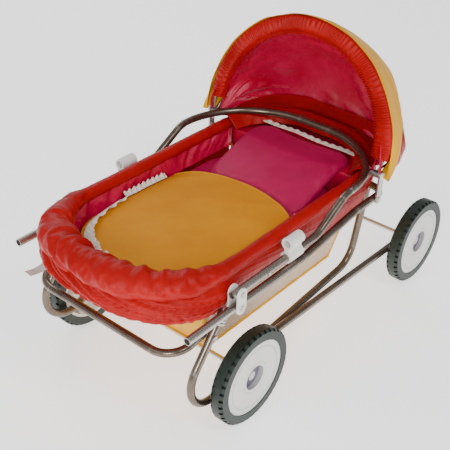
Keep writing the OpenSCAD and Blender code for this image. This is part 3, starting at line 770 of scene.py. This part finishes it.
def makeLace():
    # along the pillow's head edge
    y = np.linspace(pillowLo[1] - 0.004, pillowHi[1] + 0.004, 150)
    base = np.c_[np.full(150, pillowEdge - 0.007), y, stepZ + 0.0185 + 0.001 * np.sin(y * 60)]
    laceStrip("pillow_lace", base, np.array([0.85, 0, 0.05]), 0.0115, 26, 1 * mm)
    grid = blanketGrid(lift=0.0035)
    cols = grid.shape[1]
    # a lace corner folded over the foot end, at the far side
    corner = curvePoints([grid[0, 56], grid[2, 66], grid[5, 75], grid[14, 84], grid[26, 88]], 110)
    laceStrip("corner_lace", corner, np.array([0.50, -0.42, 0.30]), 0.022, 13, 3 * mm)
    fall = curvePoints([grid[2, 64], grid[1, 56], grid[0, 48]], 70)
    laceStrip("foot_lace", fall, np.array([0.62, 0.05, 0.25]), 0.016, 7, 3 * mm)
    # far side of the blanket, towards the middle
    side = grid[34:88, cols - 5]
    laceStrip("far_lace", curvePoints(side[::9], 110), np.array([0.1, 0.70, 0.5]), 0.0105, 18)
    # near side, next to the arch
    near = curvePoints([grid[86, 10], grid[82, 6], grid[74, 4]], 50)
    laceStrip("near_lace", near, np.array([0.30, -0.45, 0.65]), 0.020, 6, 3 * mm)


makeBassinetOuter()
makeBassinetFloors()
makeRimRoll()
makeBassinetLining()
makeMattress()
makePillow()
makeBlanket()
makeLace()
print("bassinet made")

hood = {
    # lean in degrees, then half width, reach and corner radius of the cloth in that plane
    "slices": [(12, 178.5, 206, 177.5), (30, 176.5, 199, 175), (48, 174, 187, 173), (70, 170.5, 169, 140),
               (90, 168, 150, 112), (104, 166, 150, 110)],
    "rows": 84,
    "cols": 150,
    "bandCols": 900,
    "bandWidth": 13 * mm,
    "gather": 1.5 * mm,
    "liningFold": 17 * mm,
    "redFrom": 60,           # lean where the yellow cloth ends and the red back begins
}


def hoodPoint(lean, share, grow=0.0):
    # lean in degrees; share runs from the near pivot (0) over the top to the far pivot (1)
    table = np.array(hood["slices"], float)
    half, reach, r = (np.interp(lean, table[:, 0], table[:, k]) * mm + grow for k in (1, 2, 3))
    r = min(r, reach, half)
    side, arc, top = reach - r, math.pi * r / 2, 2 * (half - r)
    d = share * (2 * side + 2 * arc + top)
    if d < side:
        y, up = -half, d
    elif d < side + arc:
        a = (d - side) / r
        y, up = -half + r - r * math.cos(a), side + r * math.sin(a)
    elif d < side + arc + top:
        y, up = -half + r + d - side - arc, reach
    elif d < side + 2 * arc + top:
        a = (d - side - arc - top) / r
        y, up = half - r + r * math.sin(a), side + r * math.cos(a)
    else:
        y, up = half, 2 * side + 2 * arc + top - d
    angle = math.radians(lean)
    return np.array([hoodPivot[0] + up * math.sin(angle), y, hoodPivot[2] + up * math.cos(angle)])


def hoodGrid(grow, leanFrom, leanTo, rows=None):
    rows, cols = rows or hood["rows"], hood["cols"]
    leans, shares = np.linspace(leanFrom, leanTo, rows), np.linspace(0.0, 1.0, cols)
    grid = np.array([[hoodPoint(a, b, grow) for b in shares] for a in leans])
    outward = grid - np.array([hoodPivot[0] + 0.05, 0, hoodPivot[2] + 0.02])
    outward /= np.linalg.norm(outward, axis=2, keepdims=True)
    u = np.linspace(0, 1, rows)[:, None] * np.ones((1, cols))
    v = np.ones((rows, 1)) * shares[None, :]
    return grid, outward, u, v


def bendOver(obj, slotName, *nodes):
    # hides the listed CAD parts and bakes the cloth's placement into its mesh
    if nodes:
        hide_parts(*nodes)
    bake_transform(obj)
    return obj


def makeHoodOuter():
    grid, outward, u, v = hoodGrid(0.007, 10.5, hood["redFrom"] + 3)
    edge = np.sin(np.pi * v) ** 0.35
    span = np.abs(np.sin(np.pi * u * 1.75))
    creases = foldNoise(v * 7.5 + 1.2 * u, u * 2.4, 71.0)
    low = smooth((0.2 - np.minimum(v, 1 - v)) / 0.2)
    bag = 0.015 * low * np.sin(np.pi * np.clip(u * 1.1 + 0.06, 0, 1)) ** 0.5 + 0.004 * np.sin(np.pi * u)
    push = bag + 0.0035 * edge * (1 - span) - 0.0015 * span + 0.0026 * creases * (0.4 + 0.6 * edge)
    grid = grid + outward * push[..., None]
    obj = gridMesh("hood_outer", grid, finishes["yellow_cloth"])
    obj = soften(thicken(obj, 0.9 * mm))
    return bendOver(obj, "yellow_cloth", "hood_canopy")


def makeHoodLining():
    grid, outward, u, v = hoodGrid(-0.004, 12.5, 97)
    edge = np.sin(np.pi * np.clip(v, 0, 1)) ** 0.25
    big = foldNoise(v * 5.0 + 1.6 * u, u * 1.9 + 0.5 * v, 83.0)
    cross = foldNoise(u * 4.4 + v * 3.4, v * 3.0 - u * 1.1, 88.0)
    fine = foldNoise(v * 13 - u * 2, u * 4, 93.0)
    fold = 0.75 * big + 0.6 * cross + 0.22 * fine
    push = -0.019 + hood["liningFold"] * fold * (0.2 + 0.8 * edge) * np.clip(0.35 + 2.5 * u, 0, 1)
    push = push * (0.35 + 0.65 * edge)
    grid = grid + outward * np.minimum(push, -0.0042)[..., None]
    obj = gridMesh("hood_lining", grid, finishes["pink_satin"])
    obj = soften(thicken(obj, 0.6 * mm))
    return bendOver(obj, "pink_satin")


def makeHoodBand():
    # elastic front edge: a soft tube round the front bow with fine gathers
    cols, around = hood["bandCols"], 24
    lean = math.radians(hood["slices"][0][0])
    line = np.array([hoodPoint(12, 0.045 + 0.91 * j / (cols - 1), -0.0035) for j in range(cols)])
    ahead = np.gradient(line, axis=0)
    ahead /= np.linalg.norm(ahead, axis=1)[:, None]
    forward = np.array([-math.cos(lean), 0, math.sin(lean)])
    inward = np.cross(forward[None, :], ahead)
    middle = np.array([hoodPivot[0], 0, hoodPivot[2]])
    if np.dot(inward[cols // 2], middle - line[cols // 2]) < 0:
        inward = -inward
    s = np.arange(cols) / cols
    gathers = np.sin(2 * math.pi * (100 * s + 1.2 * np.sin(2 * math.pi * 7 * s)))
    gathers = 0.75 * gathers + 0.4 * foldNoise(s * 60, s * 0, 90.0)
    ends = smooth(np.minimum(s, 1 - s) / 0.04)
    droop = 0.35 * smooth((0.18 - s) / 0.18)
    rows = []
    for k in range(around):
        a = 2 * math.pi * k / around
        wide = hood["bandWidth"] * (0.72 + 0.28 * ends + droop) + 0.3 * hood["gather"] * gathers
        deep = 0.0068 + hood["gather"] * (1.0 if math.sin(a) > 0 else 0.35) * gathers
        rows.append(line + inward * (wide * math.cos(a))[:, None]
                    + forward[None, :] * (deep * math.sin(a))[:, None])
    obj = gridMesh("hood_band", np.array(rows).transpose(1, 0, 2), finishes["red_cloth"], loopV=True)
    capEnds(obj, cols, around)
    finishPiece(obj, "hood_front", "red_cloth", "hood_front_band")
    ruffle = []
    for k in range(6):
        t = k / 5
        wave = 0.0030 * t * np.sin(2 * math.pi * 120 * s + 0.8 * np.sin(40 * s))
        ruffle.append(line + inward * (0.0075 + 0.0115 * t) + forward * wave[:, None])
    grid = np.array(ruffle)
    frill = thicken(gridMesh("hood_frill", grid, finishes["red_cloth"]), 0.5 * mm)
    return finishPiece(frill, "hood_front", "red_cloth")


def rimHead(shares, inset, lift):
    # the rim's line round the head end, from the near pivot round to the far one
    line, _ = shellOutline(1.0, 1200, inset=inset)
    line = np.roll(line, 600, axis=0)
    keep = line[line[:, 0] > hoodPivot[0] - 0.004]
    at = np.linspace(0, 1, len(keep))
    z = np.full(len(shares), rimTop + lift)
    return np.c_[np.interp(shares, at, keep[:, 0]), np.interp(shares, at, keep[:, 1]), z]


def makeHoodBack():
    # red back of the hood, outside, down past the bassinet's rim
    grid, outward, u, v = hoodGrid(0.004, hood["redFrom"] - 3, 104, rows=34)
    fold = foldNoise(v * 9, u * 1.6, 97.0)
    push = 0.012 * np.sin(np.pi * u) * np.sin(np.pi * v) ** 0.15 + 0.004 * fold - 0.0015 * (1 - u)
    grid = grid + outward * push[..., None]
    grid[..., 2] = np.maximum(grid[..., 2], rimTop - 0.030)
    obj = soften(thicken(gridMesh("hood_back", grid, finishes["red_cloth"]), 0.8 * mm))
    return bendOver(obj, "red_cloth")


def makeHeadDrape():
    # red lining that falls from inside the hood over the rim's head end into the bassinet
    cols, rows = 150, 40
    shares = np.linspace(0, 1, cols)
    knots = [
        np.array([hoodPoint(84, b, -0.014) for b in shares]),
        np.array([hoodPoint(97, b, -0.010) for b in shares]),
        rimHead(shares, -0.002, 0.006),
        rimHead(shares, 0.010, 0.0085),
        rimHead(shares, 0.024, -0.002),
        rimHead(shares, 0.032, -0.012),
    ]
    grid = np.zeros((rows, cols, 3))
    for j in range(cols):
        grid[:, j] = curvePoints([k[j] for k in knots], rows)
    u = np.linspace(0, 1, rows)[:, None] * np.ones((1, cols))
    v = np.ones((rows, 1)) * shares[None, :]
    inner = np.array([hoodPivot[0] + 0.03, 0, hoodPivot[2] + 0.06]) - grid
    inner /= np.linalg.norm(inner, axis=2, keepdims=True)
    fold = 0.8 * foldNoise(v * 5.5 + 0.8 * u, u * 1.7, 113.0) + 0.3 * foldNoise(v * 14, u * 3, 117.0)
    grid = grid + inner * (0.002 + 0.0055 * (0.4 + fold) * np.sin(np.pi * np.clip(v, 0, 1)) ** 0.4)[..., None]
    obj = soften(thicken(gridMesh("head_drape", grid, finishes["red_cloth"]), 0.7 * mm))
    return finishPiece(obj, "frame", "red_cloth")


makeHoodOuter()
makeHoodLining()
makeHoodBand()
makeHoodBack()
makeHeadDrape()
print("hood made")

basketLook = {
    "wallFolds": 2.5 * mm,
    "sag": 8 * mm,
    "trim": 4.2 * mm,
    "footIn": 0.022,      # how far the bottom stops short of the mouth
    "headIn": 0.020,
    "sideIn": 0.014,
}


def basketWall(name, corner, a, b, slotName, seed, cols=60, rows=26):
    # one side of the basket between two top corners, sagging outwards and down
    a, b, aLow, bLow = corner[a], corner[b], corner[a + "l"], corner[b + "l"]
    grid = np.zeros((rows, cols, 3))
    out = np.cross(np.array(b) - np.array(a), (0, 0, 1))
    out /= np.linalg.norm(out)
    for i in range(rows):
        t = i / (rows - 1)
        for j in range(cols):
            s = j / (cols - 1)
            top = lerp(np.array(a), np.array(b), s) - np.array([0, 0, 4 * s * (1 - s) * 0.006])
            low = lerp(np.array(aLow), np.array(bLow), s)
            p = lerp(low, top, t)
            grid[i, j] = p + out * (0.003 * math.sin(math.pi * t) * math.sin(math.pi * s))
    fold = foldNoise(np.linspace(0, 8, cols)[None, :] * np.ones((rows, 1)),
                     np.linspace(0, 1.5, rows)[:, None] * np.ones((1, cols)), seed)
    rowShare = np.sin(np.linspace(0.2, 2.9, rows))[:, None, None]
    grid += out * (basketLook["wallFolds"] * fold)[..., None] * rowShare
    obj = thicken(gridMesh(name, grid, finishes[slotName]), 0.8 * mm)
    return finishPiece(obj, "frame", slotName)


def makeBasket():
    lo, hi = basketLo, basketHi
    foot, head, near, far = lo[0], hi[0], lo[1], hi[1]
    topZ, lowZ = hi[2], lo[2]
    footIn, headIn, sideIn = basketLook["footIn"], basketLook["headIn"], basketLook["sideIn"]
    corner = {
        "nf": (foot, near, topZ), "ff": (foot, far, topZ), "nh": (head, near, topZ), "fh": (head, far, topZ),
        "nfl": (foot + footIn, near + sideIn, lowZ), "ffl": (foot + footIn, far - sideIn, lowZ),
        "nhl": (head - headIn, near + sideIn, lowZ), "fhl": (head - headIn, far - sideIn, lowZ),
    }
    yellow = finishes["yellow_cloth"]
    basketWall("basket_near_net", corner, "nf", "nh", "mesh_cloth", 101.0, 110)
    basketWall("basket_far_net", corner, "fh", "ff", "mesh_cloth", 103.0, 110)
    basketWall("basket_foot_end", corner, "ff", "nf", "yellow_cloth", 105.0)
    basketWall("basket_head_end", corner, "nh", "fh", "yellow_cloth", 107.0)
    # the bottom sags a little in the middle
    rows, cols = 30, 50
    grid = np.zeros((rows, cols, 3))
    for i in range(rows):
        for j in range(cols):
            u, v = i / (rows - 1), j / (cols - 1)
            p = lerp(lerp(np.array(corner["nfl"]), np.array(corner["nhl"]), v),
                     lerp(np.array(corner["ffl"]), np.array(corner["fhl"]), v), u)
            p[2] -= basketLook["sag"] * math.sin(math.pi * u) * math.sin(math.pi * v)
            grid[i, j] = p
    grid[..., 2] += 0.0015 * foldNoise(grid[..., 0] * 22, grid[..., 1] * 14, 109.0)
    bottom = thicken(gridMesh("basket_bottom", grid, yellow), 0.8 * mm)
    finishPiece(bottom, "frame", "yellow_cloth", "basket")
    # bound edges: round the mouth, up the four corners and along the bottom
    mouth = [corner[k] for k in ("nf", "nh", "fh", "ff")]
    base = [corner[k] for k in ("nfl", "nhl", "fhl", "ffl")]
    edges = [(mouth[i], mouth[(i + 1) % 4], 0.006) for i in range(4)]
    edges += [(base[i], base[(i + 1) % 4], 0.0) for i in range(4)]
    edges += [(mouth[i], base[i], 0.0) for i in range(4)]
    for k, (a, b, dip) in enumerate(edges):
        s = np.linspace(0, 1, 40)[:, None]
        path = lerp(np.array(a), np.array(b), s) - np.array([0, 0, 1]) * (4 * s * (1 - s) * dip)
        radius = basketLook["trim"] * (1 + 0.06 * np.sin(np.arange(40) * 1.7))
        trimName = "basket_trim" if k == 0 else f"basket_trim_{k}"
        trim = tubeAlong(trimName, path, radius, yellow, around=10, flat=0.6)
        finishPiece(trim, "frame", "yellow_cloth")


makeBasket()
print("basket made")

ribbon = {
    "thickness": 0.8 * mm,
    "legHalf": 0.0067,    # from the inner face of a leg to its middle
}


def ribbonAlong(name, points, width, material, body, upHint=(0, 0, 1), count=60, slotName="lace"):
    path = curvePoints(points, count)
    flat = ribbon["thickness"] / width * 1.4
    obj = tubeAlong(name, path, width / 2, material, around=12, flat=flat, upHint=upHint)
    return finishPiece(obj, body, slotName)


def legTopPoint(side, along):
    # a point on the upper leg of a long leg, from the lower hinge bolt
    slope = math.radians(-127)
    y = side * (boxOf("long_leg_near")[1][1] * -1 + ribbon["legHalf"])
    x, z = hingeAt[0] + along * math.cos(slope), hingeAt[2] + along * math.sin(slope)
    return np.array([x, y, z]), slope


def makeTies():
    for side, name in ((-1, "near"), (1, "far")):
        at, slope = legTopPoint(side, 0.030)
        axis = np.array([math.cos(slope), 0, math.sin(slope)])
        across = np.array([0, 1.0, 0])
        up = np.cross(axis, across)
        turns, count = 3.2, 110
        coil = []
        for i in range(count):
            a = 2 * math.pi * turns * i / (count - 1)
            r = 0.0078 + 0.0004 * math.sin(5 * a)
            coil.append(at + axis * (-0.008 + 0.016 * i / (count - 1))
                        + r * (math.cos(a) * across + math.sin(a) * up))
        wrap = tubeAlong(f"tie_wrap_{name}", coil, 0.0022, ribbonCloth, around=10, flat=0.7)
        finishPiece(wrap, "long_legs", "lace")
        cornerAt = np.array([basketLo[0], side * basketHi[1], basketHi[2]])
        reach = [at + up * 0.008 * side, lerp(at, cornerAt, 0.5) + np.array([0.004, 0, 0.004]), cornerAt]
        ribbonAlong(f"tie_lead_{name}", reach, 0.006, ribbonCloth, "frame", count=24)
        knot = [cornerAt + np.array([0.004 * math.cos(a), 0.004 * side * math.sin(a), 0.003 * math.sin(2 * a)])
                for a in np.linspace(0, 2 * math.pi, 9)]
        ribbonAlong(f"tie_knot_{name}", knot, 0.004, ribbonCloth, "frame", count=40)
    # loose end that hangs from the far foot corner
    start = np.array([hingeAt[0] - 0.034, shellHi[1] - 0.030, shellLo[2] - 0.001])
    tail = [start, start + np.array([-0.030, 0.010, -0.006]), start + np.array([-0.062, 0.014, -0.016]),
            start + np.array([-0.086, 0.016, -0.014])]
    ribbonAlong("loose_ribbon", tail, 0.017, ribbonCloth, "long_legs", count=40)


def makeHoodStraps():
    hoodSide = canopyHi[1] - 0.001
    for side, name in ((-1, "near"), (1, "far")):
        y = side * (hoodSide - 0.012)
        top = hoodPivot + np.array([0.006, y, 0.052])
        low = hoodPivot + np.array([-0.003, side * (hoodSide - 0.004), 0.004])
        path = [top, lerp(top, low, 0.5) + np.array([-0.004, side * 0.003, 0]), low]
        ribbonAlong(f"hood_strap_{name}", path, 0.009, finishes["pink_satin"], "frame",
                    upHint=(0, side, 0), count=30, slotName="pink_satin")


makeTies()
makeHoodStraps()
print("ribbons made")

stageLook = {"floorSize": 60.0, "floorTone": (0.93, 0.93, 0.93), "sky": 0.5, "glow": 1.1}


def makeStage():
    half = stageLook["floorSize"] / 2
    floor = addMesh("floor", [(-half, -half, 0), (half, -half, 0), (half, half, 0), (-half, half, 0)],
                    [(0, 1, 2, 3)], None)
    n = Nodes("paleFloor")
    n.set(baseColor=(*stageLook["floorTone"], 1), roughness=0.9, emissionColor=(1.0, 1.0, 1.0, 1.0),
          emissionStrength=stageLook["glow"])
    floor.data.materials.append(n.material)
    world = bpy.data.worlds.new("studio")
    scene.world = world
    world.use_nodes = True
    back = world.node_tree.nodes["Background"]
    back.inputs["Color"].default_value = (1, 1, 1, 1)
    back.inputs["Strength"].default_value = stageLook["sky"]


def addLight(name, place, aim, power, size):
    data = bpy.data.lights.new(name, "AREA")
    data.energy = power
    data.size = size
    obj = bpy.data.objects.new(name, data)
    obj.location = place
    obj.rotation_mode = "QUATERNION"
    obj.rotation_quaternion = (Vector(aim) - Vector(place)).to_track_quat("-Z", "Y")
    scene.collection.objects.link(obj)


cameraLook = {
    "azimuth": -51.44,
    "elevation": 33.05,
    "roll": 2.28,
    "distance": 1.4887,
    "target": (-0.0716, -0.0063, 0.2124),
    "lens": 71.6,
}


def makeCamera():
    data = bpy.data.cameras.new("camera")
    data.lens = cameraLook["lens"]
    data.sensor_width = 36
    data.dof.use_dof = False
    obj = bpy.data.objects.new("camera", data)
    a, e = math.radians(cameraLook["azimuth"]), math.radians(cameraLook["elevation"])
    back = Vector((math.sin(a) * math.cos(e), -math.cos(a) * math.cos(e), math.sin(e)))
    obj.location = Vector(cameraLook["target"]) + back * cameraLook["distance"]
    obj.rotation_mode = "QUATERNION"
    turn = (-back).to_track_quat("-Z", "Y")
    obj.rotation_quaternion = turn @ Quaternion((0, 0, 1), math.radians(cameraLook["roll"]))
    scene.collection.objects.link(obj)
    scene.camera = obj


makeStage()
addLight("keyLight", (-0.6, -1.7, 2.3), (0, 0, 0.25), 24, 0.7)
addLight("fillLight", (-2.0, 0.4, 1.5), (0, 0, 0.25), 7, 1.6)
addLight("hoodLight", (-1.7, -0.9, 0.95), (0.15, 0, 0.38), 18, 0.45)
addLight("backLight", (0.9, 1.9, 1.9), (0, 0, 0.25), 15, 1.2)
makeCamera()
print("stage made")
